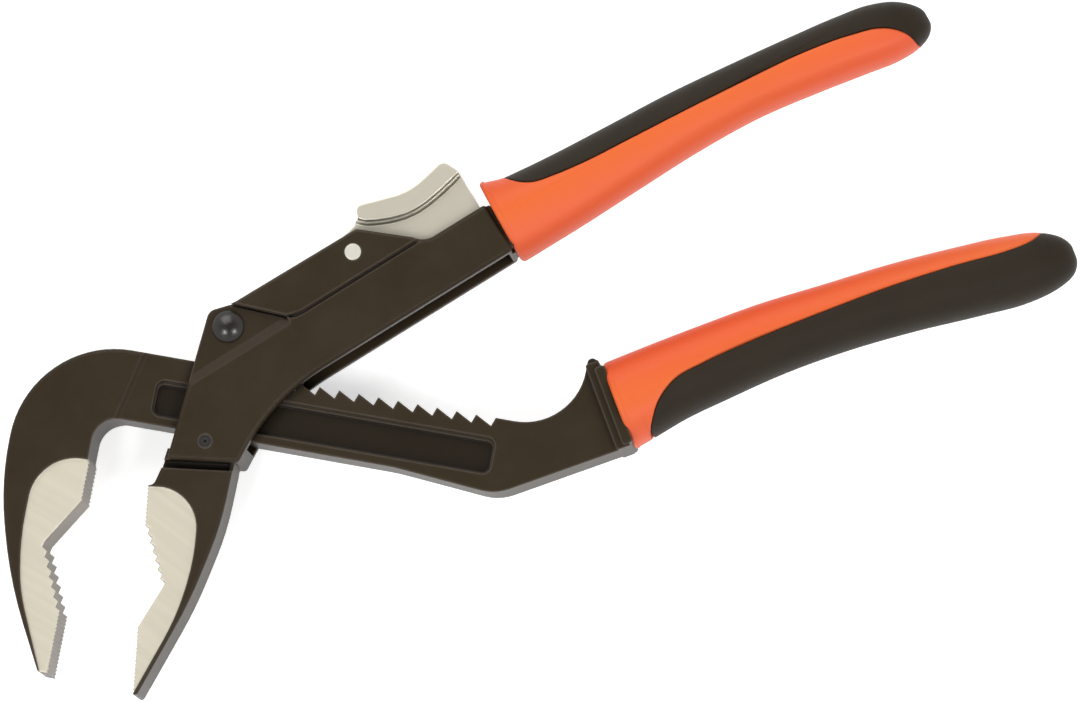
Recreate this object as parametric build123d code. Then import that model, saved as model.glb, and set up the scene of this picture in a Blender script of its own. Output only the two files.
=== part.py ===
from build123d import *
import os
from math import acos, cos, hypot, pi, sin

# Water pump pliers with a thumb button. Everything is drawn about the pivot rivet's axis,
# with X along the toothed bar, Y across it towards the upper handle and Z along the rivet,
# and is moved at the end so that the origin is under the middle of the whole tool.

# Driving dimensions, in millimetres and degrees

# the toothed bar and its rack
tooth_pitch = 4.0            # one step of the adjustment
tooth_height = 1.75
steep_run = 0.65             # how far the locking flank leans
rack_teeth = 15
rack_drop = 8.6              # rivet axis down to the tooth tips
bar_height = 13.3            # tooth tips down to the lower edge
bar_thickness = 9.6
rack_end_reach = 56.3        # rivet axis to where the rack ends
plain_top_drop = 7.9         # rivet axis down to the bar's plain top beside the hook
channel_depth = 0.6
channel_height = 7.4
channel_reach = 57.2         # rivet axis to the right end of the channel
channel_start = 12.2         # rivet axis to its left end
channel_drop = 4.1           # tooth tips down to its upper edge
channel_corner = 1.8

# the bar's cranked end, up to the lower grip
crank_reach = 59.0           # rivet axis to the lowest point of the crank
crank_drop = 23.7
crank_start = 38.0           # where the lower edge starts to sink
crank_radius = 10.0
crank_ease = 40.0
throat_reach = 72.3          # rivet axis to the back of the horn
throat_radius = 12.2
horn_rise = 7.0              # rivet axis up to the horn's tip
horn_radius = 1.0
collar_width = 2.8
collar_thickness = 12.4
collar_edge = 0.6

# the hooked head of the fixed jaw
head_reach = 39.4            # rivet axis to the back of the hook
jaw_drop = 74.8              # rivet axis down to the jaw tips
head_thickness = 11.0
head_edge = 0.7              # rounding of the forging's edges
jaw_thickness = 10.0         # between the ground flanks
fixed_face_reach = 22.4      # rivet axis to the fixed jaw's gripping face
face_stock = 1.1             # metal on a gripping face before its teeth are cut
fixed_notch_depth = 5.8      # pipe notch behind the gripping face
moving_notch_depth = 4.5
jaw_tip_width = 0.9          # moving jaw's tip, behind its gripping face
neck_top_reach = 14.9        # rivet axis to the step between head and bar, at the top
neck_low_reach = 18.2        # and at the bottom
neck_drop = 22.4             # rivet axis down to the underside of the neck
neck_radius = 2.0

# the moving lever
arm_length = 56.6            # rivet axis to the shoulder under the grip
arm_rise = 3.0               # rivet axis to the arm's upper edge
arm_depth = 20.3             # upper edge to lower edge
arm_angle = 35.1             # arm against the bar when the jaws are parallel
rest_opening = 7.0           # how far the jaws stand open from parallel
lever_thickness = 14.4       # over the cheeks
cheek_edge = 0.9             # rounding of the cheeks' edges
strip_height = 0.5           # upper strip of a cheek above its main face
strip_depth = 8.5            # upper edge of the arm down to the strip's lower edge
strip_edge = 0.3
pocket_depth = 0.7           # recess round the rivet below the main face
pocket_slope = 1.8           # width of the soft slope out of that recess
moving_face_reach = 14.1     # rivet axis to the moving jaw's gripping face
cheek_drop = 27.4            # rivet axis down to the lower end of the cheeks
cheek_front = 10.4           # rivet axis to the cheeks' lower front corner
cheek_back = 4.0             # and to their lower back corner
elbow_radius = 42.0          # under the arm, where it turns down to the jaw
pocket_end = 11.0            # how far along the arm the pocket's lower edge runs
strip_back = 15.6            # shoulder under the grip back to the end of the strip's lower edge
thumb_cut_back = 24.6        # shoulder back to where the upper edge drops under the thumb
thumb_floor_back = 13.6      # and to the foot of that drop
thumb_cut_drop = 6.4         # rivet axis down to the upper edge there
thumb_cut_radius = 4.0
groove_height = 1.4          # groove between the cheeks and the jaw
groove_depth = 0.9

# the channel inside the arm
channel_floor = 3.0          # web left under the channel
tang_floor = 5.8             # web left where the tang starts
web_start = 23.0             # rivet axis to where the web begins, along the arm
tang_back = 9.6              # shoulder back to where the tang's root begins
web_slope = 1.5              # how far the channel's front end leans

# the teeth of the jaws
fine_pitch = 0.8
fine_depth = 0.28
coarse_pitch = 1.95
coarse_depth = 0.8

# rivet, guide pin and button pin
rivet_radius = 2.5
rivet_head_radius = 3.15
rivet_head_height = 1.5
rivet_head_rim = 0.3
guide_pin_radius = 1.35
guide_pin_drop = 23.6        # rivet axis down to the guide pin, square to the bar
guide_dimple_radius = 0.45
guide_dimple_depth = 0.6
button_pin_radius = 1.65
button_pin_back = 27.5       # shoulder under the grip back to the button pin
button_pin_drop = 0.7        # rivet axis down to it, across the arm
running_clearance = 0.05     # shaft in hole, on the radius
face_clearance = 0.05        # under the rivet's heads
side_clearance = 0.1         # bar in its slot, each side

# the locking pawl
pawl_skipped_teeth = 2       # teeth of the rack left of the pawl
pawl_teeth = 3
pawl_side_clearance = 0.15
pawl_mesh_gap = 0.12
pawl_flank_gap = 0.08
pawl_lift = 2.1              # travel that takes its teeth clear of the rack
pawl_wall = 1.5              # metal round the rivet's slot
pawl_foot_gap = 0.5          # plain foot above the plain top of the bar
pawl_shoulder_drop = 3.2     # rivet axis down to the pawl's right shoulder
pawl_step_rise = 1.0         # rivet axis up to the foot of the link ears
pawl_slot_margin = 0.1
pawl_lane_radius = 7.1       # room between the ears for the button's tail
pawl_lane_ahead = 0.8
link_pin_radius = 1.0
link_reach = 6.4             # rivet axis to the link pin, along the bar
link_rise = 4.0              # and across it
link_ear_radius = 2.4
link_pin_inset = 0.05        # its ends below the ears' faces

# the release button
thumb_pad_thickness = 12.6
button_length = 26.3         # button pin to the end under the thumb
button_underside = 6.6       # button pin down to the button's underside
button_top = 8.0             # button pin up to the pad's front tip
button_boss_radius = 3.5
tail_thickness = 4.8
tail_width = 5.0
tail_eye_width = 5.4
tail_eye_height = 6.8
tail_wall = 1.1
tail_eye_ahead = 0.55        # the eye's centre past the link pin at rest
tail_eye_below = 0.9
tail_lane_clearance = 0.2

# the button's return spring
spring_back = 13.6           # shoulder under the grip back to the spring
spring_radius = 2.4
spring_wire = 0.6
spring_turns = 4
wire_sides = 5
spring_gap = 0.15

# the tangs inside the grips
tang_width = 6.4
tang_tip_width = 3.6
tang_thickness = 6.0
tang_length = 64.0
tang_bend = 12.0             # mouth of the upper grip to where its tang is centred

# the grips
grip_width = 18.0            # across the mouth
grip_thickness = 17.6
upper_grip_length = 95.0
lower_grip_length = 96.2
upper_grip_turn = 2.7        # how far the upper grip bends down from the arm
upper_grip_ahead = 0.6       # shoulder of the arm to the grip's mouth
upper_grip_drop = 10.1       # rivet axis down to the middle of its mouth, across the arm
lower_grip_angle = 31.2      # lower grip against the bar
lower_grip_reach = 79.35     # rivet axis to the middle of its mouth
lower_grip_drop = 1.35
lower_grip_gap = 0.3         # its mouth to the collar of the bar
collar_overhang = 0.3        # collar past the lower grip's under side
pad_wall = 1.9               # soft layer over the hard core
grip_sides = 8               # flat sides round each half of a grip
bore_sides = 4               # and round the core under the pad
overrun = 3.0                # how far cuts run past what they cut

# Outlines: x, y and corner radius, as shares of the sizes in the call that draws them

hook_back_shares = [
    (-1.0, -0.106, 0.281), (-1.0, -0.515, 0.80), (-0.860, -0.769, 1.20),
    (-0.624, -1.0, 0.011),
]
ground_fixed_shares = [
    (-0.843, -0.417, 0.126), (-0.843, -0.662, 0.75), (-0.792, -0.795, 0.43), (-0.600, -1.016, 0.0),
]
moving_front_shares = [(-0.752, -0.334, 0.0), (-0.823, -0.388, 0.053), (-0.922, -0.436, 0.02)]
moving_back_shares = [(-0.277, -0.742, 1.2), (0.085, -0.535, 0.8), (0.234, -0.334, 0.0)]
ground_moving_shares = [
    (-0.255, -0.439, 0.112), (-0.255, -0.628, 0.60), (-0.440, -0.782, 0.66), (-1.035, -1.016, 0.0),
]
boss_shares = [(-0.202, 0.143, 0.108), (0.044, 0.232, 0.296)]
pad_top_shares = [
    (0.167, 0.750, 0.05), (0.209, 0.988, 0.15), (0.608, 0.575, 1.75), (0.947, 0.812, 0.2),
    (1.0, 0.400, 0.05), (0.510, 0.113, 0.75),
]
button_top_shares = [
    (0.110, 0.613, 0.1), (0.213, 0.875, 0.1), (0.608, 0.525, 1.5), (0.958, 0.675, 0.125),
    (1.0, 0.325, 0.06),
]

button_heel_shares = [
    (0.996, -0.825, 0.125), (0.304, -0.825, 0.5), (0.076, -0.425, 0.125),
]
button_boss_shares = [(-1.0, -1.0, 0.97), (-1.0, 1.0, 0.97)]

# Down each jaw: where the gripping face starts, and the pipe notch's top, depth and end
fixed_mouth_shares = [0.414, 0.525, 0.652, 0.830]
moving_mouth_shares = [0.436, 0.544, 0.710, 0.822]

# Grips: along the grip, upper side, lower side and half thickness of each section
upper_grip_shares = [
    (0.0, 0.500, -0.500, 0.500), (0.030, 0.446, -0.495, 0.485), (0.055, 0.415, -0.490, 0.475),
    (0.100, 0.397, -0.480, 0.464), (0.200, 0.374, -0.450, 0.451), (0.380, 0.350, -0.387, 0.436),
    (0.560, 0.303, -0.370, 0.432), (0.710, 0.240, -0.441, 0.442), (0.830, 0.179, -0.527, 0.443),
    (0.901, 0.122, -0.578, 0.415), (0.945, 0.035, -0.569, 0.355), (0.975, -0.072, -0.523, 0.270),
    (1.0, -0.244, -0.383, 0.085),
]
lower_grip_shares = [
    (0.0, 0.489, -0.517, 0.500), (0.042, 0.494, -0.482, 0.478), (0.070, 0.497, -0.455, 0.468),
    (0.115, 0.500, -0.413, 0.457), (0.218, 0.500, -0.367, 0.443), (0.370, 0.483, -0.328, 0.432),
    (0.520, 0.424, -0.354, 0.432), (0.660, 0.362, -0.424, 0.439), (0.785, 0.281, -0.517, 0.443),
    (0.873, 0.211, -0.567, 0.415), (0.945, 0.108, -0.536, 0.335), (0.975, 0.020, -0.475, 0.255),
    (1.0, -0.161, -0.311, 0.085),
]

# Height where the soft pad meets the hard core, from the second section on
upper_divide_shares = [0.400, 0.280, 0.172, 0.084, 0.048, 0.010, -0.040, -0.138, -0.245, -0.440]
lower_divide_shares = [-0.440, -0.290, -0.080, 0.035, 0.084, 0.092, 0.084, 0.042, 0.0, 0.078]

# Places that follow from the sizes above
bar_bottom = -rack_drop - bar_height
tooth_root = -rack_drop - tooth_height
rack_start = rack_end_reach - rack_teeth * tooth_pitch
slot_half = bar_thickness / 2 + side_clearance
pawl_half = slot_half - pawl_side_clearance
pocket_half = lever_thickness / 2 - pocket_depth
strip_half = lever_thickness / 2 + strip_height
arm_low = arm_rise - arm_depth
strip_low = arm_rise - strip_depth
pocket_low = strip_low + cheek_edge
channel_low = arm_low + channel_floor
button_pin_reach = arm_length - button_pin_back
rivet_hole = rivet_radius + running_clearance


def frame_at(x, y, turn=0.0):
    """a flat frame at x, y, turned about Z"""
    return Location((x, y, 0), (0, 0, turn))


def spot(frame, x, y, radius=0.0):
    """a corner given in a flat frame, in the part's own x and y"""
    position = (frame * Pos(x, y, 0)).position
    return position.X, position.Y, radius


shut = frame_at(0, 0, rest_opening)      # the moving lever, with its jaw drawn square to the bar
arm = frame_at(0, 0, rest_opening + arm_angle)
button_at = arm * frame_at(button_pin_reach, -button_pin_drop)
upper_grip_at = arm * frame_at(arm_length + upper_grip_ahead, -upper_grip_drop, -upper_grip_turn)
lower_grip_at = frame_at(lower_grip_reach, -lower_grip_drop, lower_grip_angle)


def moved(frame, points):
    return [spot(frame, *point) for point in points]


def sharp(points):
    return [(x, y, 0) for x, y in points]


def corners(shares, width, height):
    """corner points and radii from a table of shares"""
    return [(x * width, y * height, r * height) for x, y, r in shares]


def face_of(points):
    """a flat face from corners given as x, y and radius"""
    places = [(x, y) for x, y, _ in points]
    radii = [radius for _, _, radius in points]
    return make_face(FilletPolyline(*places, radius=radii, close=True))


def slab(face, thickness):
    """a plate with half its thickness on each side of the middle plane"""
    return extrude(face, amount=thickness / 2, both=True)


def softened(plate, radius):
    """the plate with the rims of its two flat sides rounded"""
    levels = plate.edges().group_by(Axis.Z)
    return fillet(levels[0] + levels[-1], radius)


def both_sides(face, inner, outer):
    """two plates, one on each side, from inner to outer away from the middle plane"""
    plate = extrude(face, amount=outer - inner)
    return Pos(0, 0, inner) * plate + Pos(0, 0, -outer) * plate


def teeth(start, end, pitch, depth):
    """zigzag from start to end, its valleys to the left of that way"""
    run = hypot(end[0] - start[0], end[1] - start[1])
    count = max(1, round(run / pitch))
    along_x = (end[0] - start[0]) / run
    along_y = (end[1] - start[1]) / run
    points = []
    for i in range(count):
        tip = run * i / count
        valley = run * (i + 1 / 2) / count
        points.append((start[0] + along_x * tip, start[1] + along_y * tip))
        points.append((start[0] + along_x * valley - along_y * depth,
                       start[1] + along_y * valley + along_x * depth))
    return points


def rack_line(first_tip, count, tips, roots):
    """tooth points from left to right: steep flanks face the jaws, gentle ones the handles"""
    points = []
    for i in range(count):
        tip = first_tip + i * tooth_pitch
        points += [(tip - steep_run, roots), (tip, tips)]
    return points


def jaw_mouth(face_x, into, notch_depth, shares):
    """what is cut off a gripping face: fine teeth, the pipe notch and fine teeth again

    into is -1 where the metal lies towards -X, and 1 where it lies towards +X. The notch has
    coarse teeth on its lower flank in the first case and on its upper flank in the second.
    """
    top, notch_top, deepest, notch_end = [-share * jaw_drop for share in shares]
    upper = (face_x, notch_top)
    bottom = (face_x + into * notch_depth, deepest)
    lower = (face_x, notch_end)
    tip = (face_x, -jaw_drop - overrun)
    line = teeth((face_x, top), upper, fine_pitch, into * fine_depth)
    if into < 0:
        line += [upper] + teeth(bottom, lower, coarse_pitch, into * coarse_depth)
    else:
        line += teeth(upper, bottom, coarse_pitch, into * coarse_depth) + [bottom]
    line += teeth(lower, tip, fine_pitch, into * fine_depth)
    away = face_x - into * overrun
    return face_of(sharp(line + [tip, (away, -jaw_drop - overrun), (away, top)]))


def bar_outline():
    """the toothed bar, its cranked end and the horn beside the lower grip's mouth"""
    middle = (neck_top_reach + neck_low_reach) / 2
    points = sharp([(-middle, bar_bottom), (-middle, -plain_top_drop)])
    points += sharp([(rack_start - 2 * steep_run, -plain_top_drop)])
    points += sharp(rack_line(rack_start, rack_teeth + 1, -rack_drop, tooth_root))
    points += [(throat_reach, -rack_drop, throat_radius), (throat_reach, horn_rise, horn_radius)]
    points += moved(lower_grip_at, [
        (-lower_grip_gap, grip_width / 2, 0),
        (-lower_grip_gap, -grip_width / 2 - collar_overhang, 0),
    ])
    points += [(crank_reach, -crank_drop, crank_radius), (crank_start, bar_bottom, crank_ease)]
    return face_of(points)


def collar():
    """raised band of the bar that the lower grip's mouth stands against"""
    return slab(face_of(moved(lower_grip_at, [
        (-lower_grip_gap - collar_width, -grip_width / 2 - collar_overhang, collar_edge),
        (-lower_grip_gap, -grip_width / 2 - collar_overhang, 0),
        (-lower_grip_gap, grip_width / 2, 0),
        (-lower_grip_gap - collar_width, grip_width / 2, collar_edge),
    ])), collar_thickness)


def lower_tang():
    """tapering iron inside the lower grip"""
    return slab(face_of(moved(lower_grip_at, [
        (-collar_width, -tang_width / 2, 0), (tang_length, -tang_tip_width / 2, 0),
        (tang_length, tang_tip_width / 2, 0), (-collar_width, tang_width / 2, 0),
    ])), tang_thickness)


def upper_tang():
    """iron that runs from the arm's web into the middle of the upper grip"""
    low = arm_low + upper_grip_drop
    high = low + tang_floor
    return slab(face_of(moved(upper_grip_at, [
        (-collar_width, low, 0), (0, low, 0), (tang_bend, -tang_width / 2, tang_width),
        (tang_length, -tang_tip_width / 2, 0), (tang_length, tang_tip_width / 2, 0),
        (tang_bend, tang_width / 2, tang_width), (0, high, 0), (-collar_width, high, 0),
    ])), tang_thickness)


def fixed_jaw_lever():
    """hooked jaw, toothed bar, crank and tang, forged in one piece"""
    inside = -fixed_face_reach + face_stock
    outline = [(-neck_top_reach, -plain_top_drop, 0)] + corners(hook_back_shares, head_reach, jaw_drop)
    outline += [(inside, -jaw_drop, 0), (inside, -neck_drop, neck_radius), (-neck_low_reach, -neck_drop, 0)]
    lever = softened(slab(face_of(outline), head_thickness), head_edge)
    lever += slab(bar_outline(), bar_thickness)
    lever += collar()
    lever += lower_tang()

    lever -= slab(jaw_mouth(-fixed_face_reach, -1, fixed_notch_depth, fixed_mouth_shares),
                  head_thickness + overrun)
    flank = corners(ground_fixed_shares, head_reach, jaw_drop)
    past = inside + overrun
    flank += [(past, flank[-1][1], 0), (past, flank[0][1], 0)]
    lever -= both_sides(face_of(flank), jaw_thickness / 2, head_thickness)

    channel = RectangleRounded(channel_reach + channel_start, channel_height, channel_corner)
    middle = -rack_drop - channel_drop - channel_height / 2
    channel = Pos((channel_reach - channel_start) / 2, middle) * channel
    return lever - both_sides(channel, bar_thickness / 2 - channel_depth, head_thickness)


def cheek_outline():
    """the moving lever's cheeks, from the jaw up round the rivet and along the arm"""
    points = [(-cheek_front, -cheek_drop, cheek_edge)] + corners(boss_shares, arm_depth, arm_depth)
    return moved(shut, points) + moved(arm, [
        (arm_length - thumb_cut_back, arm_rise, cheek_edge),
        (arm_length - thumb_floor_back, -thumb_cut_drop, thumb_cut_radius),
        (arm_length, -thumb_cut_drop, cheek_edge),
        (arm_length, arm_low, cheek_edge),
        (0, arm_low, elbow_radius),
    ]) + moved(shut, [(cheek_back, -cheek_drop, cheek_edge)])


def raised_strip(outline):
    """upper strip of both cheeks, which stands above their main faces"""
    area = face_of(moved(arm, [
        (pocket_end - arm_depth, pocket_low + arm_depth, 0), (pocket_end, pocket_low, 0),
        (pocket_end + overrun, strip_low, 0), (arm_length - strip_back, strip_low, 0),
        (arm_length - strip_back, pocket_low + arm_depth, 0),
    ]))
    strip = slab(face_of(outline) & area, 2 * strip_half)
    levels = strip.edges().group_by(Axis.Z)
    return chamfer(levels[0] + levels[-1], strip_edge)


def pocket():
    """recess round the rivet on both cheeks, with its soft lower slope"""
    area = face_of(moved(arm, [
        (-arm_depth, pocket_low, 0), (pocket_end, pocket_low, 0),
        (pocket_end - arm_depth, pocket_low + arm_depth, 0), (-arm_depth, pocket_low + arm_depth, 0),
    ]))
    across = Plane(origin=(-arm_depth, 0, 0), x_dir=(0, 1, 0), z_dir=(1, 0, 0))
    slope = across * Polygon(
        (pocket_low, pocket_half), (pocket_low, lever_thickness / 2 + overrun),
        (pocket_low - pocket_slope, lever_thickness / 2 + overrun),
        (pocket_low - pocket_slope, lever_thickness / 2),
        align=None)
    slope = arm * extrude(slope, amount=arm_depth + pocket_end)
    return both_sides(area, pocket_half, lever_thickness) + slope + mirror(slope, about=Plane.XY)


def jaw_slot():
    """room between the cheeks for the bar, the pawl and the button"""
    far = arm_length + overrun
    points = [spot(frame_at(0, 0), -head_reach, -guide_pin_drop)]
    points.append(spot(frame_at(0, 0), cheek_back + arm_depth / 2, -guide_pin_drop))
    points += moved(arm, [
        (web_start - web_slope, arm_low - overrun, 0), (web_start, channel_low, 0),
        (arm_length - tang_back, channel_low, 0), (arm_length - tang_back, arm_low + tang_floor, 0),
        (far, arm_low + tang_floor, 0), (far, arm_rise + overrun, 0),
    ])
    points.append(spot(frame_at(0, 0), -head_reach, arm_length))
    return slab(face_of(points), 2 * slot_half)


def moving_jaw():
    """the moving jaw below the cheeks"""
    inside = -moving_face_reach - face_stock
    front = corners(moving_front_shares, moving_face_reach, jaw_drop)
    back = corners(moving_back_shares, moving_face_reach, jaw_drop)
    tip_back = -moving_face_reach + jaw_tip_width
    outline = front + [(inside, front[-1][1], 0), (inside, -jaw_drop, 0)]
    outline += [(tip_back, -jaw_drop, head_edge)] + back
    jaw = softened(slab(face_of(outline), head_thickness), head_edge)
    jaw -= slab(jaw_mouth(-moving_face_reach, 1, moving_notch_depth, moving_mouth_shares),
                head_thickness + overrun)
    flank = corners(ground_moving_shares, moving_face_reach, jaw_drop)
    past = inside - overrun
    flank += [(past, flank[-1][1], 0), (past, flank[0][1], 0)]
    jaw -= both_sides(face_of(flank), jaw_thickness / 2, head_thickness)
    groove = Pos(0, -cheek_drop - groove_height / 2) * Rectangle(head_reach, groove_height)
    return shut * (jaw - both_sides(groove, head_thickness / 2 - groove_depth, head_thickness))


def moving_jaw_lever():
    """jaw, two cheeks astride the bar and the hollow arm, forged in one piece"""
    outline = cheek_outline()
    lever = softened(slab(face_of(outline), lever_thickness), cheek_edge)
    lever += raised_strip(outline)
    lever -= pocket()
    lever += moving_jaw()
    lever -= jaw_slot()
    lever += upper_tang()
    lever -= Cylinder(rivet_hole, 2 * lever_thickness)
    lever -= Pos(0, -guide_pin_drop) * Cylinder(guide_pin_radius, 2 * lever_thickness)
    return lever - button_at * Cylinder(button_pin_radius, 2 * lever_thickness)


def pivot_rivet():
    """shank with a low dome at each end"""
    seat = pocket_half + face_clearance
    dome_height = rivet_head_height - rivet_head_rim
    dome_radius = (rivet_head_radius ** 2 + dome_height ** 2) / (2 * dome_height)
    head = Pos(0, 0, seat + rivet_head_height / 2) * Cylinder(rivet_head_radius, rivet_head_height)
    head &= Pos(0, 0, seat + rivet_head_height - dome_radius) * Sphere(dome_radius)
    return Cylinder(rivet_radius, 2 * seat) + head + mirror(head, about=Plane.XY)


def guide_pin():
    """pin across the cheeks under the bar, centre-marked at both ends"""
    pin = Cylinder(guide_pin_radius, lever_thickness)
    mark = Pos(0, 0, lever_thickness / 2) * Cylinder(guide_dimple_radius, 2 * guide_dimple_depth)
    return Pos(0, -guide_pin_drop) * (pin - mark - mirror(mark, about=Plane.XY))


def button_pivot_pin():
    """pin the release button turns on, flush with the raised strips"""
    return button_at * Cylinder(button_pin_radius, 2 * strip_half)


def pawl():
    """toothed block that the rivet carries, with two ears for the link pin"""
    wall = rivet_hole + pawl_wall
    first = rack_start + pawl_skipped_teeth * tooth_pitch - pawl_flank_gap
    line = rack_line(first, pawl_teeth + 1, -rack_drop + pawl_mesh_gap, tooth_root + pawl_mesh_gap)[1:-1]
    foot = -plain_top_drop + pawl_foot_gap
    outline = [
        (-wall, foot, head_edge), (-wall, wall, wall - 2 * running_clearance),
        (link_reach - link_ear_radius, wall, head_edge),
        (link_reach - link_ear_radius, link_rise + link_ear_radius, head_edge * 2),
        (link_reach + link_ear_radius, link_rise + link_ear_radius, head_edge * 3),
        (link_reach + link_ear_radius, pawl_step_rise, head_edge * 2),
        (line[-1][0], -pawl_shoulder_drop, head_edge),
    ]
    outline += sharp(line[::-1]) + [(line[0][0], foot, 0)]
    block = slab(face_of(outline), 2 * pawl_half)
    travel = pawl_lift + pawl_slot_margin
    slot = Pos(0, -travel / 2) * Rot(0, 0, 90) * SlotCenterToCenter(travel, 2 * rivet_hole)
    block -= slab(slot, 2 * lever_thickness)
    lane = Pos(link_reach + pawl_lane_ahead, link_rise) * Circle(pawl_lane_radius)
    block -= slab(lane, tail_thickness + 2 * tail_lane_clearance)
    return block - Pos(link_reach, link_rise) * Cylinder(link_pin_radius, 2 * lever_thickness)


def pawl_link_pin():
    """pin between the pawl's ears that the button's tail lifts"""
    return Pos(link_reach, link_rise) * Cylinder(link_pin_radius, 2 * (pawl_half - link_pin_inset))


def release_button():
    """rocking button with a wide thumb pad, and a tail that reaches round the link pin"""
    body = corners(button_top_shares, button_length, button_top)
    body += corners(button_heel_shares, button_length, button_top)
    body += corners(button_boss_shares, button_boss_radius, button_boss_radius)
    button = slab(face_of(body), 2 * pawl_half)
    button += slab(face_of(corners(pad_top_shares, button_length, button_top)), thumb_pad_thickness)

    link = button_at.inverse() * Pos(link_reach, link_rise, 0)
    eye = Pos(link.position.X + tail_eye_ahead, link.position.Y - tail_eye_below)
    hole = Ellipse(tail_eye_width / 2, tail_eye_height / 2)
    rim = Ellipse(tail_eye_width / 2 + tail_wall, tail_eye_height / 2 + tail_wall)
    stem = Polygon(
        (eye.position.X, eye.position.Y - tail_width / 2), (0, -tail_width / 2),
        (0, tail_width / 2), (eye.position.X, eye.position.Y + tail_width / 2), align=None)
    button += slab(eye * rim + stem, tail_thickness)
    button -= slab(eye * hole, 2 * tail_thickness)
    button -= Cylinder(button_pin_radius + running_clearance, 2 * lever_thickness)
    return button_at * button


def button_spring():
    """coil between the arm's web and the underside of the button, swept along half turns"""
    start = channel_low + spring_gap + spring_wire / 2
    height = -button_pin_drop - button_underside - spring_gap - spring_wire / 2 - start
    rise = height / spring_turns / 4
    path = []
    for i in range(2 * spring_turns):
        side = spring_radius if i % 2 == 0 else -spring_radius
        low = 2 * i * rise
        path.append(ThreePointArc((side, 0, low), (0, side, low + rise), (-side, 0, low + 2 * rise)))
    section = Plane(origin=path[0] @ 0, z_dir=path[0] % 0) * RegularPolygon(spring_wire / 2, wire_sides)
    coil = sweep(section, path=Wire(path))
    return arm * Pos(arm_length - spring_back, start, 0) * Rot(-90, 0, 0) * coil


def oval_points(section, inset, turns):
    """corners on one oval section of a grip, this far inside its surface"""
    _, upper, lower, half = section
    height = (upper - lower) / 2 * grip_width - inset
    depth = half * grip_thickness - inset
    return [(height * cos(turn), depth * sin(turn)) for turn in turns]


def fan(span, sides):
    """turns from -span to span: even steps of a quarter turn, with what is left in the last ones"""
    half = sides // 2
    turns = [min(i * pi / 2, i * span) / half for i in range(half)] + [span]
    return [-turn for turn in turns[:0:-1]] + turns


def across(section, length):
    """plane that stands across a grip at one of its sections, its X pointing up the grip"""
    along, upper, lower, _ = section
    centre = (along * length, (upper + lower) / 2 * grip_width, 0)
    return Plane(origin=centre, x_dir=(0, 1, 0), z_dir=(1, 0, 0))


def whole_part(sections, length, inset, sides):
    """straight-ruled body through whole ovals"""
    faces = []
    for section in sections:
        points = oval_points(section, inset, [2 * pi * i / sides for i in range(sides)])
        faces.append(across(section, length) * make_face(Polyline(*points, close=True)))
    return loft(faces, ruled=True)


def divided_part(sections, heights, length, pad_side, soft):
    """straight-ruled body through ovals that a height divides into a soft wall and a hard core

    The wall lies above the height where pad_side is 1 and below it where pad_side is -1. The
    body is the wall where soft is true, and else the rest of the oval, inside and beside it.
    """
    faces = []
    for section, height in zip(sections, heights):
        _, upper, lower, _ = section
        turn = acos((2 * height - upper - lower) / (upper - lower))
        middle, span = (0, turn) if pad_side > 0 else (pi, pi - turn)
        bore = [middle + step for step in fan(span, bore_sides)]
        if soft:
            outer = [middle + step for step in fan(span, grip_sides)]
            bore.reverse()
        else:
            outer = [middle + pi + step for step in fan(pi - span, grip_sides)]
        outside = oval_points(section, 0, outer)
        inside = oval_points(section, pad_wall, bore)
        faces.append(across(section, length) * make_face(Polyline(*outside, *inside, close=True)))
    return loft(faces, ruled=True)


def grip(frame, length, shares, divide_shares, pad_side, iron):
    """hard core and soft pad of a grip; pad_side is 1 for a pad above the dividing line, -1 below"""
    last = len(divide_shares)
    divided = shares[1:last + 1]
    core = whole_part(shares[:2], length, 0, 2 * grip_sides)
    core += divided_part(divided, divide_shares, length, pad_side, False)
    nose = whole_part(shares[last:last + 2], length, pad_wall, 2 * bore_sides)
    pad = divided_part(divided, divide_shares, length, pad_side, True)
    pad += whole_part(shares[last:], length, 0, 2 * grip_sides) - nose
    return frame * (core + nose) - iron, frame * pad


def save(shapes):
    """moves everything over the origin and writes one file for each piece"""
    box = Compound(children=[shape.moved(Location()) for shape in shapes.values()]).bounding_box()
    home = Pos(-box.center().X, -box.center().Y, -box.min.Z)
    os.makedirs("parts", exist_ok=True)
    for name, shape in shapes.items():
        solids = shape.solids()
        if len(solids) != 1:
            raise ValueError(f"{name} is {len(solids)} solids")
        export_step(home * solids[0], f"parts/{name}.step")
    print("size", box.size)
    print("pivot rivet", home.position)
    print("button pin", (home * button_at).position)
    print("link pin", (home * Pos(link_reach, link_rise)).position)


upper_core, upper_pad = grip(
    upper_grip_at, upper_grip_length, upper_grip_shares, upper_divide_shares, 1, upper_tang())
lower_core, lower_pad = grip(
    lower_grip_at, lower_grip_length, lower_grip_shares, lower_divide_shares, -1, lower_tang())
save({
    "fixed_jaw_lever": fixed_jaw_lever(),
    "moving_jaw_lever": moving_jaw_lever(),
    "pivot_rivet": pivot_rivet(),
    "guide_pin": guide_pin(),
    "pawl": pawl(),
    "pawl_link_pin": pawl_link_pin(),
    "release_button": release_button(),
    "button_pivot_pin": button_pivot_pin(),
    "button_spring": button_spring(),
    "upper_grip_core": upper_core,
    "upper_grip_pad": upper_pad,
    "lower_grip_core": lower_core,
    "lower_grip_pad": lower_pad,
})
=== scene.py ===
"""Water pump pliers with a thumb button: the finish of every piece, and the grips as moulded skins.

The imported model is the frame. The sections follow the tool as it is put together: the forged
levers, the rivet and the guide pin, the pawl with the bright pins and the spring, the release
button, the grips, and then the table, the light and the camera.
"""

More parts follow.
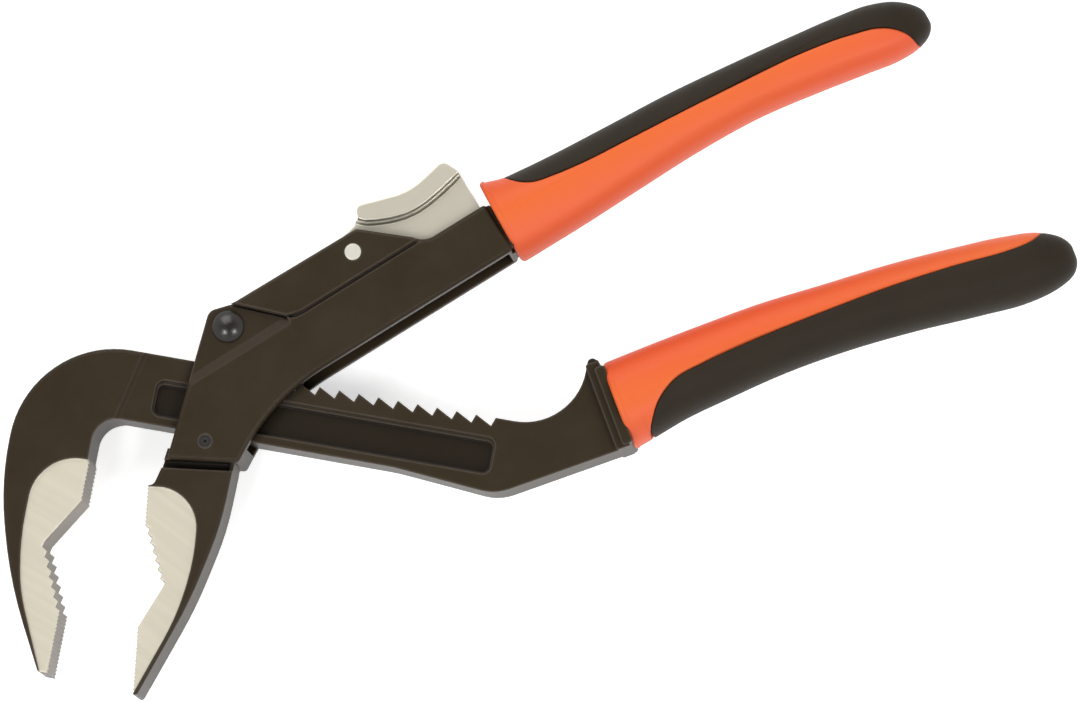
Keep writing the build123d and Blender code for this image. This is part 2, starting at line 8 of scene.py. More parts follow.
import bmesh
import bpy
import numpy as np
from mathutils import Matrix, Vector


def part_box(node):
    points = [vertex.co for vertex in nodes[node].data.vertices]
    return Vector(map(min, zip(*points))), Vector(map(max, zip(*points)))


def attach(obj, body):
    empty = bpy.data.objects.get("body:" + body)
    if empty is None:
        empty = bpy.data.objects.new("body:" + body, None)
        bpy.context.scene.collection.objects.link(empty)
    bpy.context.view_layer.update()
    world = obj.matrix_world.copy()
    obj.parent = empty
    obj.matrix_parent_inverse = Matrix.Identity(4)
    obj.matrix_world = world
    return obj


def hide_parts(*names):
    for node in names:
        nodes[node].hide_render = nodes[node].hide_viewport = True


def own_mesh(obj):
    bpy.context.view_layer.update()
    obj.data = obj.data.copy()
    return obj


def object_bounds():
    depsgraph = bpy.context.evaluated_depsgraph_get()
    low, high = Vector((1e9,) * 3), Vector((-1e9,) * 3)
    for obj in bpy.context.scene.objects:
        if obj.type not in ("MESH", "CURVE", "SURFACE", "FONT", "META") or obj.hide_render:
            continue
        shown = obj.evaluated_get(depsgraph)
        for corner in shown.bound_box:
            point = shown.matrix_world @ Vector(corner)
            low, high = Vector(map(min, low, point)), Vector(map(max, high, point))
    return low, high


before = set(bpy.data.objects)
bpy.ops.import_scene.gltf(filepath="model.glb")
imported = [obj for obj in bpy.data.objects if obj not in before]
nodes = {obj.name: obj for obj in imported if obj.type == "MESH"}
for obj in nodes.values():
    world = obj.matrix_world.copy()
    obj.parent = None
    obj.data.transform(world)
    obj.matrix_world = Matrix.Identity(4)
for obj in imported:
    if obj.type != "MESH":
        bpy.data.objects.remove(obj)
cad_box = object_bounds()


# The two levers. Each is a drop forging of alloy steel, blackened to a warm brown with a soft
# sheen. The jaws' flanks and gripping faces are ground after that, so there the bare steel shows.

rivet_low, rivet_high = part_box("pivot_rivet")
rivet_at = (rivet_low + rivet_high) / 2         # all distances below are from the rivet's middle
coating_brown = (0.0275, 0.0190, 0.0095, 1)
coating_worn = (0.090, 0.072, 0.054, 1)
# painted shade: the near black that crevices and the channel's floors are darkened towards
painted_shade_black = (0.006, 0.0045, 0.003, 1)
bare_steel = (0.66, 0.615, 0.50, 1)
streaked_steel = (0.54, 0.50, 0.40, 1)          # where the grinding wheel left it duller
# painted shade: the darker steel of the gripping faces, which are bare like the flanks
tooth_shade_steel = (0.22, 0.195, 0.17, 1)
flank_level, flank_play = 0.0050, 0.00004       # ground flanks, from the middle plane
channel_level, channel_play = 0.0034, 0.0004    # floors of the channel along the bar
rest_opening = np.radians(7.0)                  # the moving jaw from square to the bar
fixed_face_reach, fixed_notch_depth = 0.0224, 0.0075
moving_face_reach, moving_notch_depth = 0.0141, 0.0062
mouth_top = 0.0309                              # where the gripping faces begin, under the rivet
ground_above_mouth = 0.003                      # the flanks are ground this much higher up
lies_flat, stands_up, looks_out = 0.9, 0.5, 0.05  # parts of a normal, which tell how a face lies
past_face = 0.0002                              # how far past its own plane a gripping face is bare


def add(tree, kind, inputs=None, **settings):
    """One shader node, with its settings and with its inputs given as values or linked sockets."""
    made = tree.nodes.new(kind)
    for name, value in settings.items():
        setattr(made, name, value)
    for name, value in (inputs or {}).items():
        if isinstance(value, bpy.types.NodeSocket):
            tree.links.new(value, made.inputs[name])
        else:
            made.inputs[name].default_value = value
    return made


def maths(tree, operation, *values):
    """The result socket of one Math node."""
    return add(tree, "ShaderNodeMath", dict(enumerate(values)), operation=operation).outputs[0]


def new_group(name, inputs, outputs):
    """An empty node group with named sockets; returns the tree and its input and output nodes."""
    tree = bpy.data.node_groups.new(name, "ShaderNodeTree")
    for label, kind, value in inputs:
        socket = tree.interface.new_socket(label, in_out="INPUT", socket_type=kind)
        socket.default_value = value
    for label, kind in outputs:
        tree.interface.new_socket(label, in_out="OUTPUT", socket_type=kind)
    return tree, tree.nodes.new("NodeGroupInput"), tree.nodes.new("NodeGroupOutput")


def use(tree, group, inputs):
    """The outputs of a node group placed in a material."""
    return add(tree, "ShaderNodeGroup", inputs, node_tree=group).outputs


def blend(tree, factor, first, second):
    """A colour that goes from the first to the second."""
    return add(tree, "ShaderNodeMix", {0: factor, 6: first, 7: second}, data_type="RGBA").outputs[2]


def rescaled(tree, value, low, high, to_low=0.0, to_high=1.0):
    """A value that goes evenly from to_low at low to to_high at high, and stays level past them."""
    return add(tree, "ShaderNodeMapRange", {
        "Value": value, "From Min": low, "From Max": high,
        "To Min": to_low, "To Max": to_high}).outputs["Result"]


def new_material(name):
    """A node material with only its output node and its Principled shader."""
    material = bpy.data.materials.new(name)
    material.use_nodes = True
    tree = material.node_tree
    shader = tree.nodes["Principled BSDF"]
    return material, tree, shader


def relief(tree, shader, height, strength, depth, normal=None):
    """Fine relief on the shader: a Bump node on this height, over the normal where one is given."""
    inputs = {"Strength": strength, "Distance": depth, "Height": height}
    if normal is not None:
        inputs["Normal"] = normal
    bump = add(tree, "ShaderNodeBump", inputs)
    tree.links.new(bump.outputs["Normal"], shader.inputs["Normal"])


# grain of a blasted or moulded surface: fine height, and broad patches of tone
grain, grain_in, grain_out = new_group(
    "surface grain",
    [("Place", "NodeSocketVector", (0, 0, 0)), ("Grain size", "NodeSocketFloat", 0.0003),
        ("Patch size", "NodeSocketFloat", 0.008)],
    [("Height", "NodeSocketFloat"), ("Patches", "NodeSocketFloat")])
fine = add(grain, "ShaderNodeTexNoise", {
    "Vector": grain_in.outputs["Place"], "Detail": 4.0, "Roughness": 0.6,
    "Scale": maths(grain, "DIVIDE", 1.0, grain_in.outputs["Grain size"])})
broad = add(grain, "ShaderNodeTexNoise", {
    "Vector": grain_in.outputs["Place"], "Detail": 5.0, "Roughness": 0.62,
    "Scale": maths(grain, "DIVIDE", 1.0, grain_in.outputs["Patch size"])})
grain.links.new(fine.outputs["Fac"], grain_out.inputs["Height"])
grain.links.new(broad.outputs["Fac"], grain_out.inputs["Patches"])

# edges rubbed bright, in spots: where the rounded normal turns away from the face's own
rubbed, rubbed_in, rubbed_out = new_group(
    "rubbed edges",
    [("Place", "NodeSocketVector", (0, 0, 0)), ("Width", "NodeSocketFloat", 0.0003),
        ("Amount", "NodeSocketFloat", 1.0)],
    [("Mask", "NodeSocketFloat"), ("Normal", "NodeSocketVector")])
bevel = add(rubbed, "ShaderNodeBevel", {"Radius": rubbed_in.outputs["Width"]}, samples=6)
face = add(rubbed, "ShaderNodeNewGeometry")
turned = add(rubbed, "ShaderNodeVectorMath", operation="DOT_PRODUCT")
rubbed.links.new(bevel.outputs["Normal"], turned.inputs[0])
rubbed.links.new(face.outputs["Normal"], turned.inputs[1])
away = maths(rubbed, "SUBTRACT", 1.0, turned.outputs["Value"])
spots = add(rubbed, "ShaderNodeTexNoise", {
    "Vector": rubbed_in.outputs["Place"], "Scale": 900.0, "Detail": 6.0, "Roughness": 0.7})
spotted = maths(rubbed, "MULTIPLY", away, maths(rubbed, "MULTIPLY", spots.outputs["Fac"], 9.0))
wear = rescaled(rubbed, spotted, 0.02, 0.5)
rubbed.links.new(maths(rubbed, "MULTIPLY", wear, rubbed_in.outputs["Amount"]),
                 rubbed_out.inputs["Mask"])
rubbed.links.new(bevel.outputs["Normal"], rubbed_out.inputs["Normal"])

# lines that a grinding wheel leaves: noise drawn out long on one way
ground, ground_in, ground_out = new_group(
    "grinding lines",
    [("Place", "NodeSocketVector", (0, 0, 0)), ("Turn", "NodeSocketFloat", 0.0),
        ("Line width", "NodeSocketFloat", 0.00012)],
    [("Height", "NodeSocketFloat"), ("Streaks", "NodeSocketFloat")])
laid = add(ground, "ShaderNodeVectorRotate", {
    "Vector": ground_in.outputs["Place"], "Angle": ground_in.outputs["Turn"]},
    rotation_type="Z_AXIS")
drawn = add(ground, "ShaderNodeVectorMath", {
    0: laid.outputs["Vector"], 1: (0.035, 1.0, 1.0)}, operation="MULTIPLY")
lines = add(ground, "ShaderNodeTexNoise", {
    "Vector": drawn.outputs["Vector"], "Detail": 3.0, "Roughness": 0.55,
    "Scale": maths(ground, "DIVIDE", 1.0, ground_in.outputs["Line width"])})
bands = add(ground, "ShaderNodeTexNoise", {
    "Vector": drawn.outputs["Vector"], "Detail": 2.0,
    "Scale": maths(ground, "DIVIDE", 0.12, ground_in.outputs["Line width"])})
ground.links.new(lines.outputs["Fac"], ground_out.inputs["Height"])
ground.links.new(bands.outputs["Fac"], ground_out.inputs["Streaks"])


def forged_lever(name, out, down, face_reach, notch_reach):
    """Blackened forging with one ground jaw.

    out is the way its gripping face looks and down the way to its tip, both square to the rivet.
    A flank is bare from a little above the mouth down, where the surface lies flat at the flanks'
    level. The gripping face is bare where the surface looks outwards, from the notch's reach
    along out to the face's.
    """
    material, tree, shader = new_material(name)
    here = add(tree, "ShaderNodeTexCoord")
    place = add(tree, "ShaderNodeVectorMath", {0: here.outputs["Object"], 1: tuple(rivet_at)},
                operation="SUBTRACT").outputs["Vector"]
    facing = add(tree, "ShaderNodeVectorTransform", {
        "Vector": add(tree, "ShaderNodeNewGeometry").outputs["True Normal"]},
        vector_type="NORMAL", convert_from="WORLD", convert_to="OBJECT").outputs["Vector"]
    along, below, looks = [
        add(tree, "ShaderNodeVectorMath", {0: vector, 1: way},
            operation="DOT_PRODUCT").outputs["Value"]
        for vector, way in ((place, out), (place, down), (facing, out))]
    level, upright = [
        maths(tree, "ABSOLUTE", add(tree, "ShaderNodeSeparateXYZ", {0: vector}).outputs["Z"])
        for vector in (place, facing)]
    flat = maths(tree, "GREATER_THAN", upright, lies_flat)

    flank = maths(tree, "MULTIPLY", maths(tree, "COMPARE", level, flank_level, flank_play), flat)
    flank = maths(tree, "MULTIPLY", flank,
                  maths(tree, "GREATER_THAN", below, mouth_top - ground_above_mouth))
    grip = maths(tree, "LESS_THAN", upright, stands_up)
    for limit in (
            maths(tree, "GREATER_THAN", looks, looks_out),
            maths(tree, "GREATER_THAN", below, mouth_top),
            maths(tree, "GREATER_THAN", along, notch_reach),
            maths(tree, "LESS_THAN", along, face_reach + past_face)):
        grip = maths(tree, "MULTIPLY", grip, limit)
    bare = maths(tree, "MAXIMUM", flank, grip)

    skin = use(tree, grain, {"Place": place, "Grain size": 0.00028, "Patch size": 0.011})
    edges = use(tree, rubbed, {"Place": place, "Width": 0.00065, "Amount": 0.9})
    wheel = use(tree, ground, {"Place": place, "Turn": float(np.arctan2(out[1], out[0])) + 0.35,
                               "Line width": 0.00016})
    patches = rescaled(tree, skin["Patches"], 0.3, 0.7, 0.0, 0.12)
    dark = blend(tree, patches, coating_brown, coating_worn)
    dark = blend(tree, edges["Mask"], dark, coating_worn)
    # painted shade: crevices darkened towards near black by ambient occlusion
    opening = add(tree, "ShaderNodeAmbientOcclusion", {"Distance": 0.0035}, samples=8)
    painted_shade = rescaled(tree, opening.outputs["AO"], 0.30, 0.90, 0.95, 0.0)
    dark = blend(tree, painted_shade, dark, painted_shade_black)
    # painted shade: the channel's flat floors are darkened towards near black
    floor = maths(tree, "COMPARE", level, channel_level, channel_play)
    floor = maths(tree, "MULTIPLY", floor, flat)
    dark = blend(tree, maths(tree, "MULTIPLY", floor, 0.6), dark, painted_shade_black)
    streaks = rescaled(tree, wheel["Streaks"], 0.35, 0.65, 0.0, 0.3)
    bright = blend(tree, streaks, bare_steel, streaked_steel)
    # painted shade: the gripping faces, which stand sideways, get the darker steel
    bright = blend(tree, grip, bright, tooth_shade_steel)

    tree.links.new(blend(tree, bare, dark, bright), shader.inputs["Base Color"])
    tree.links.new(maths(tree, "MULTIPLY", bare, 0.6), shader.inputs["Metallic"])
    rough = maths(tree, "MULTIPLY_ADD", skin["Height"], 0.10, 0.31)
    tree.links.new(maths(tree, "MULTIPLY_ADD", bare, 0.06, rough), shader.inputs["Roughness"])
    shader.inputs["Specular IOR Level"].default_value = 0.12
    coated = maths(tree, "MULTIPLY", skin["Height"], maths(tree, "SUBTRACT", 1.0, bare))
    height = maths(tree, "ADD", coated, maths(tree, "MULTIPLY", wheel["Height"], bare))
    relief(tree, shader, height, 0.30, 0.00006, edges["Normal"])
    return material


turn_cos, turn_sin = float(np.cos(rest_opening)), float(np.sin(rest_opening))
fixed_steel = forged_lever(
    "blackened forging, fixed jaw", (1.0, 0.0, 0.0), (0.0, -1.0, 0.0),
    -fixed_face_reach, -fixed_face_reach - fixed_notch_depth)
moving_steel = forged_lever(
    "blackened forging, moving jaw", (-turn_cos, -turn_sin, 0.0), (turn_sin, -turn_cos, 0.0),
    moving_face_reach, moving_face_reach - moving_notch_depth)


def in_scene(name, data):
    """A new object in the scene, of this mesh, lamp or camera."""
    made = bpy.data.objects.new(name, data)
    bpy.context.scene.collection.objects.link(made)
    return made


def solid(name, rings):
    """A closed skin through rings of places, row after row, with a flat face over each end."""
    rings = np.asarray(rings, float)
    rows, columns = rings.shape[:2]
    number = np.arange(rows * columns).reshape(rows, columns)
    beside = np.roll(number, -1, axis=1)
    sides = np.stack([number[:-1], beside[:-1], beside[1:], number[1:]], axis=-1).reshape(-1, 4)
    ends = [number[0].tolist(), number[-1].tolist()]
    mesh = bpy.data.meshes.new(name)
    mesh.from_pydata(rings.reshape(-1, 3), [], sides.tolist() + ends)
    work = bmesh.new()
    work.from_mesh(mesh)
    bmesh.ops.recalc_face_normals(work, faces=work.faces)
    work.to_mesh(mesh)
    work.free()
    return in_scene(name, mesh)


def from_rivet(places, turn=0.0):
    """Places in millimetres from the rivet's middle, turned about it, as places in the frame."""
    places = np.asarray(places, float) * 0.001
    x, y, z = places[..., 0], places[..., 1], places[..., 2]
    return np.stack([x * np.cos(turn) - y * np.sin(turn), x * np.sin(turn) + y * np.cos(turn), z],
                    axis=-1) + np.array(rivet_at)


def plate(name, outline, low, high, turn=0.0):
    """An outline in the plane of the tool, given thickness from low to high along the rivet."""
    outline = np.asarray(outline, float)
    level = np.ones((len(outline), 1))
    return solid(name, from_rivet([np.hstack([outline, level * low]),
                                   np.hstack([outline, level * high])], turn))


def round_corners(x0, x1, y0, y1, radius, steps=8):
    """A rectangle's outline, with a quarter turn of this radius about a middle at each corner."""
    turns = np.linspace(0, np.pi / 2, steps)
    middles = [(x1 - radius, y1 - radius), (x0 + radius, y1 - radius),
               (x0 + radius, y0 + radius), (x1 - radius, y0 + radius)]
    return np.concatenate([
        np.stack([x + radius * np.cos(turns + corner * np.pi / 2),
                  y + radius * np.sin(turns + corner * np.pi / 2)], axis=-1)
        for corner, (x, y) in enumerate(middles)])


def cord_along(name, path, radius, turn=0.0, sides=14):
    """A round rod along a line of places: at each, a circle square to the line's own direction."""
    path = np.asarray(path, float)
    ahead = np.gradient(path, axis=0)
    ahead /= np.linalg.norm(ahead, axis=1, keepdims=True)
    side = np.cross(ahead, (0, 0, 1))
    side /= np.linalg.norm(side, axis=1, keepdims=True)
    lift = np.cross(side, ahead)
    turns = np.arange(sides) * 2 * np.pi / sides
    rings = (path[:, None] + radius * np.cos(turns)[None, :, None] * side[:, None]
             + radius * np.sin(turns)[None, :, None] * lift[:, None])
    return solid(name, from_rivet(rings, turn))


def finished_part(node, body, material, added, cutters, name):
    """A skin that stands for a node: its own mesh with solids added, and then others cut away.

    The loose triangles of the copy are merged first. Edges of more than 18 degrees stay sharp,
    and elsewhere large faces lead the normals.
    """
    mesh = nodes[node].data.copy()
    if "custom_normal" in mesh.attributes:
        mesh.attributes.remove(mesh.attributes["custom_normal"])
    work = bmesh.new()
    work.from_mesh(mesh)
    bmesh.ops.remove_doubles(work, verts=work.verts, dist=5e-7)
    work.to_mesh(mesh)
    work.free()
    made = in_scene(name, mesh)
    for operation, tools in (("UNION", added), ("DIFFERENCE", cutters)):
        for tool in tools:
            step = made.modifiers.new(tool.name, "BOOLEAN")
            step.operation, step.solver, step.object = operation, "EXACT", tool
    bpy.context.view_layer.update()
    shape = bpy.data.meshes.new_from_object(
        made.evaluated_get(bpy.context.evaluated_depsgraph_get()))
    made.modifiers.clear()
    made.data = shape
    for tool in [*added, *cutters]:
        bpy.data.objects.remove(tool)
    for label in ("custom_normal", "sharp_edge", "sharp_face"):
        if label in shape.attributes:
            shape.attributes.remove(shape.attributes[label])
    shape.materials.clear()
    shape.materials.append(material)
    shape.polygons.foreach_set("use_smooth", np.ones(len(shape.polygons), bool))
    shape.polygons.foreach_set("material_index", np.zeros(len(shape.polygons), np.int32))
    shape.set_sharp_from_angle(angle=np.radians(18))
    even = made.modifiers.new("even normals", "WEIGHTED_NORMAL")
    even.weight, even.keep_sharp = 90, True
    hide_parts(node)
    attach(made, body)


# The fixed lever's shapes, in millimetres from the rivet. The step from the head down to the bar
# is a soft slope, along a line that leans as the neck does.
past_all = 8.0                                  # further from the middle plane than any surface
neck_top, neck_low = np.array([-14.9, -7.9]), np.array([-18.2, -22.4])
neck_way = (neck_low - neck_top) / np.linalg.norm(neck_low - neck_top)
neck_out = np.array([neck_way[1], -neck_way[0]])
slope_width, slope_lead, slope_ends = 1.3, 6.0, 3.0
head_half, bar_half = 5.5, 4.78


def neck_level(inward):
    """Half the thickness at a distance in from the neck's line: an S-curve from bar to head.

    The bar's half thickness, plus what the head has more times the curve. The curve is the
    distance's share of the slope's width, squared, times three less twice that share.
    """
    share = np.clip(inward / slope_width, 0, 1)
    return bar_half + (head_half - bar_half) * share ** 2 * (3 - 2 * share)


inward = np.concatenate([[-slope_lead], np.linspace(-0.1, slope_width, 20)])
rim = np.concatenate([np.stack([inward, neck_level(inward) + 0.02], axis=-1),
                      [[slope_width, past_all], [-slope_lead, past_all]]])
cutters = []
for side in (1, -1):
    cutters.append(solid("neck slope", from_rivet([
        np.hstack([end + rim[:, :1] * neck_out, side * rim[:, 1:]])
        for end in (neck_top - slope_ends * neck_way, neck_low + slope_ends * neck_way)])))
# inside the hook the bar's underside runs into the jaw in one wide round
fillet_radius, fillet_middle = 5.2, np.array([-17.7, -27.12])
turns = np.linspace(np.pi / 2, np.pi, 40)
cutters.append(plate("neck fillet", np.vstack([
    fillet_middle + fillet_radius * np.stack([np.cos(turns), np.sin(turns)], axis=-1),
    [[-22.9, -31.2], [-14.0, -31.2], [-14.0, -21.92]]]), -past_all, past_all))
channel = round_corners(-11.8, 56.8, -19.8, -13.5, 1.4)
channel_floor, channel_rim = 3.4, 4.6
for low, high in ((channel_floor, channel_rim), (-channel_rim, -channel_floor)):
    cutters.append(plate("deep channel", channel, low, high))
neck_half = 5.45
neck = plate("neck", [
    (-25.0, -12.0), (-14.0, -12.0), (-14.0, -21.9), (-18.5, -23.5), (-21.5, -27.0),
    (-22.8, -30.0), (-25.0, -30.0)], -neck_half, neck_half)
# the collar's foot closes the gap up to the lower grip, whose mouth stands here
lower_mouth, lower_way = np.array([79.35, -1.35]), np.radians(31.2)
collar_x, collar_y = lower_mouth @ np.array([
    [np.cos(lower_way), -np.sin(lower_way)], [np.sin(lower_way), np.cos(lower_way)]])
collar_half = 7.2
collar_foot = plate("collar foot", round_corners(
    collar_x - 1.6, collar_x + 0.5, collar_y - 9.0, collar_y + 7.6, 0.7),
    -collar_half, collar_half, lower_way)
finished_part("fixed_jaw_lever", "rack_lever", fixed_steel,
              [neck, collar_foot], cutters, "fixed_lever_skin")

# The moving lever's: a channel under the arm, a deeper groove under the cheeks, a furrow at the
# strip's foot, and a rounded shoulder that closes the gap up to the upper grip.
arm_way = float(np.radians(42.1))                # the arm's own way, against the bar
groove_floor, furrow_radius, shoulder_half = 3.6, 0.36, 6.4
under_channel = [
    [(reach, -20.0, -4.9), (reach, -15.0, -4.9), (reach, -15.0, 4.9), (reach, -20.0, 4.9)]
    for reach in (21.5, 55.4)]
cutters = [solid("under channel", from_rivet(under_channel, arm_way))]
furrow_line = np.array([
    (1.0, 5.4, 6.5), (6.0, 0.4, 6.5), (10.6, -4.2, 6.5), (11.6, -5.1, 6.9), (12.8, -5.5, 7.2),
    (14.5, -5.65, 7.2), (20.0, -5.65, 7.2), (41.0, -5.65, 7.2), (43.5, -5.65, 7.25)])
for side in (1, -1):
    low, high = sorted((side * groove_floor, side * past_all))
    cutters.append(plate("deep groove", [
        (-13.0, -27.35), (2.2, -27.35), (2.2, -29.0), (-13.0, -29.0)],
        low, high, float(rest_opening)))
    cutters.append(cord_along("furrow", furrow_line * (1, 1, side), furrow_radius, arm_way))
shoulder = plate("shoulder", round_corners(55.6, 57.35, -16.7, -6.9, 0.6),
                 -shoulder_half, shoulder_half, arm_way)
finished_part("moving_jaw_lever", "moving_lever", moving_steel,
              [shoulder], cutters, "moving_lever_skin")


# The rivet and the guide pin. Turned steel, blackened like the levers but smoother, and set in
# from the side: the rivet with a low dome at each end, the guide pin centre-marked.

rivet_black = (0.012, 0.010, 0.008, 1)
pin_black = (0.012, 0.010, 0.009, 1)


def turned_steel(name, colour, metallic, roughness, worn):
    """Turned steel in one colour, paler by patches, with its edges rubbed bright."""
    material, tree, shader = new_material(name)
    place = add(tree, "ShaderNodeTexCoord").outputs["Object"]
    skin = use(tree, grain, {"Place": place, "Grain size": 0.0002, "Patch size": 0.003})
    edges = use(tree, rubbed, {"Place": place, "Width": 0.0002, "Amount": worn})
    paler = tuple(min(1.0, 1.9 * part) for part in colour[:3]) + (1,)
    tone = blend(tree, maths(tree, "MULTIPLY", skin["Patches"], 0.35), colour, paler)
    tree.links.new(blend(tree, edges["Mask"], tone, bare_steel), shader.inputs["Base Color"])
    shader.inputs["Metallic"].default_value = metallic
    tree.links.new(maths(tree, "MULTIPLY_ADD", skin["Height"], 0.12, roughness),
                   shader.inputs["Roughness"])
    relief(tree, shader, skin["Height"], 0.2, 0.00003, edges["Normal"])
    return material


def dress(node, material):
    """Gives a node of the frame this material in all its slots."""
    mesh = nodes[node].data
    mesh.materials.clear()
    mesh.materials.append(material)


dress("pivot_rivet", turned_steel("blackened rivet", rivet_black, 0.0, 0.20, 0.05))
dress("guide_pin", turned_steel("blackened guide pin", pin_black, 0.3, 0.38, 0.12))


# The locking pawl, the pin of its link, the button's pin and the return spring. The pawl is
# hardened and left dark, the pins are bright drawn steel, and the spring is oiled wire.

pawl_dark = (0.10, 0.088, 0.075, 1)
drawn_steel = (0.62, 0.58, 0.50, 1)
oiled_wire = (0.20, 0.185, 0.165, 1)
dress("pawl", turned_steel("hardened pawl", pawl_dark, 0.7, 0.36, 0.3))
bright_pin = turned_steel("bright drawn steel", drawn_steel, 0.6, 0.34, 0.1)
dress("pawl_link_pin", bright_pin)
dress("button_pivot_pin", bright_pin)

# The spring: a circle of wire carried round a helix that lies flat at both ends, from the arm's
# web up to the button, whose underside comes down on it. In millimetres along and across the arm.
spring_reach, spring_foot, spring_height = 43.0, -13.85, 6.1
coil_radius, wire_radius, coils = 2.4, 0.3, 4.0
flat_coils, flat_climb = 0.8, 0.09              # at each end, and the share of the height there
way = np.linspace(0, coils, 241)
climb = spring_foot + spring_height * np.interp(
    way, [0, flat_coils, coils - flat_coils, coils], [0, flat_climb, 1 - flat_climb, 1])
round_way = 2 * np.pi * way
away = np.stack([np.cos(round_way), 0 * way, np.sin(round_way)], axis=-1)
middles = np.stack([spring_reach + 0 * way, climb, 0 * way], axis=-1) + coil_radius * away
turns = np.arange(10) * 2 * np.pi / 10
wire = (middles[:, None] + wire_radius * np.cos(turns)[None, :, None] * away[:, None]
        + wire_radius * np.sin(turns)[None, :, None] * np.array([0, 1, 0]))
spring = solid("button_spring_coil", from_rivet(wire, arm_way))
spring.data.materials.append(turned_steel("oiled spring wire", oiled_wire, 0.9, 0.3, 0.0))
spring.data.polygons.foreach_set("use_smooth", np.ones(len(spring.data.polygons), bool))
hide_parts("button_spring")
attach(spring, "moving_lever")
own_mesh(spring)


# The release button. A cast piece, satin nickel plated. Its hollows are darkened and turned
# slightly green by ambient occlusion, which is painted shade, so the crowns stay bright. A groove
# runs in a soft S under its wide thumb pad.

nickel = (0.66, 0.62, 0.51, 1)
nickel_patch = (0.59, 0.555, 0.46, 1)
# painted shade: the dark, slightly green tone put into the hollows
nickel_shade = (0.20, 0.19, 0.155, 1)
nickel_rubbed = (0.86, 0.83, 0.75, 1)

material, tree, shader = new_material("satin nickel")
place = add(tree, "ShaderNodeTexCoord").outputs["Object"]
skin = use(tree, grain, {"Place": place, "Grain size": 0.00022, "Patch size": 0.006})
edges = use(tree, rubbed, {"Place": place, "Width": 0.0004, "Amount": 0.8})
opening = add(tree, "ShaderNodeAmbientOcclusion", {"Distance": 0.004}, samples=8)
# painted shade: the hollows darkened by ambient occlusion
painted_shade = rescaled(tree, opening.outputs["AO"], 0.25, 0.85, 1.0, 0.0)
tone = blend(tree, maths(tree, "MULTIPLY", skin["Patches"], 0.25), nickel, nickel_patch)
tone = blend(tree, maths(tree, "MULTIPLY", painted_shade, 0.75), tone, nickel_shade)
tree.links.new(blend(tree, edges["Mask"], tone, nickel_rubbed), shader.inputs["Base Color"])
shader.inputs["Metallic"].default_value = 0.85
tree.links.new(maths(tree, "MULTIPLY_ADD", skin["Height"], 0.14, 0.30), shader.inputs["Roughness"])
relief(tree, shader, skin["Height"], 0.35, 0.00004, edges["Normal"])

# The groove's line, in millimetres along and across the arm. The thumb pad's band lies along it,
# from just over the line to this height, and the button's plate is thinner than the pad.
groove_line = np.array([
    (32.9, 4.9), (34.3, 3.5), (36.3, 2.35), (39.1, 1.15), (41.8, 0.35), (44.4, 0.05),
    (46.9, 0.15), (50.0, 0.6), (53.1, 1.25), (56.0, 1.95)])
groove_radius, band_gap, band_height = 0.55, 0.35, 2.2
pad_half, plate_half = 6.3, 4.6
ways = np.gradient(groove_line, axis=0)
ways /= np.linalg.norm(ways, axis=1, keepdims=True)
rise = np.stack([-ways[:, 1], ways[:, 0]], axis=-1)
band_low = np.vstack([[33.5, 4.9], groove_line[1:-1] + band_gap * rise[1:-1], [55.5, 2.15]])
band_top = np.vstack([[34.2, 6.6], groove_line[2:-1] + band_height * rise[2:-1], [54.6, 4.4]])
band = plate("thumb band", np.vstack([band_low, band_top[::-1]]), -pad_half, pad_half, arm_way)
cutters = []
for side in (1, -1):
    level = np.full((len(groove_line), 1), side * plate_half)
    cutters.append(cord_along("groove", np.hstack([groove_line, level]), groove_radius, arm_way))
finished_part("release_button", "release_button", material,
              [band], cutters, "release_button_skin")


# The grips. Each is a hard orange core moulded over the lever's tang, with a soft black pad
# moulded on over one side and round the end. The skins meet in a fine dark seam.

grip_width = 0.018
grip_thickness = 0.0176
pad_depth = 0.0011           # how deep the pad's edge goes into the core
seam = 0.00012               # gap between pad and core
core_edge = 0.00055          # how far back from the seam the core's edge is rounded
pad_edge = 0.0004            # the same for the pad's
mouth_round = 0.0010         # rounding of the core's front edge
fullness = 2.35              # 2 is an oval section, more is fuller at its corners
crease_soft = 0.0004         # how softly the drawn-in side meets the round of the grip
least_half = 0.0015          # smaller half heights count as this in the seam's share of a turn
bare_steps, hidden_steps, lip_steps = 41, 15, 7
outer_steps, inner_steps = 81, 41


def flowing(rows, count):
    """A smooth curve through rows of numbers, as count even steps along its length.

    Between neighbouring rows it is a cubic whose ends have the slope from the row before to the
    row after, measured over the straight distances between the rows.
    """
    rows = np.asarray(rows, float)
    steps = np.linalg.norm(np.diff(rows, axis=0), axis=1)
    at = np.concatenate([[0], np.cumsum(steps)])
    slope = np.gradient(rows, at, axis=0)
    where = np.linspace(0, at[-1], count)
    i = np.clip(np.searchsorted(at, where, side="right") - 1, 0, len(at) - 2)
    gap = (at[i + 1] - at[i])[:, None]
    t = ((where - at[i]) / (at[i + 1] - at[i]))[:, None]
    return ((2 * t**3 - 3 * t**2 + 1) * rows[i] + (t**3 - 2 * t**2 + t) * gap * slope[i]
            + (3 * t**2 - 2 * t**3) * rows[i + 1] + (t**3 - t**2) * gap * slope[i + 1])


def fuller(part):
    """A cosine or sine raised to two over the fullness, with its sign kept."""
    return np.sign(part) * np.abs(part) ** (2 / fullness)


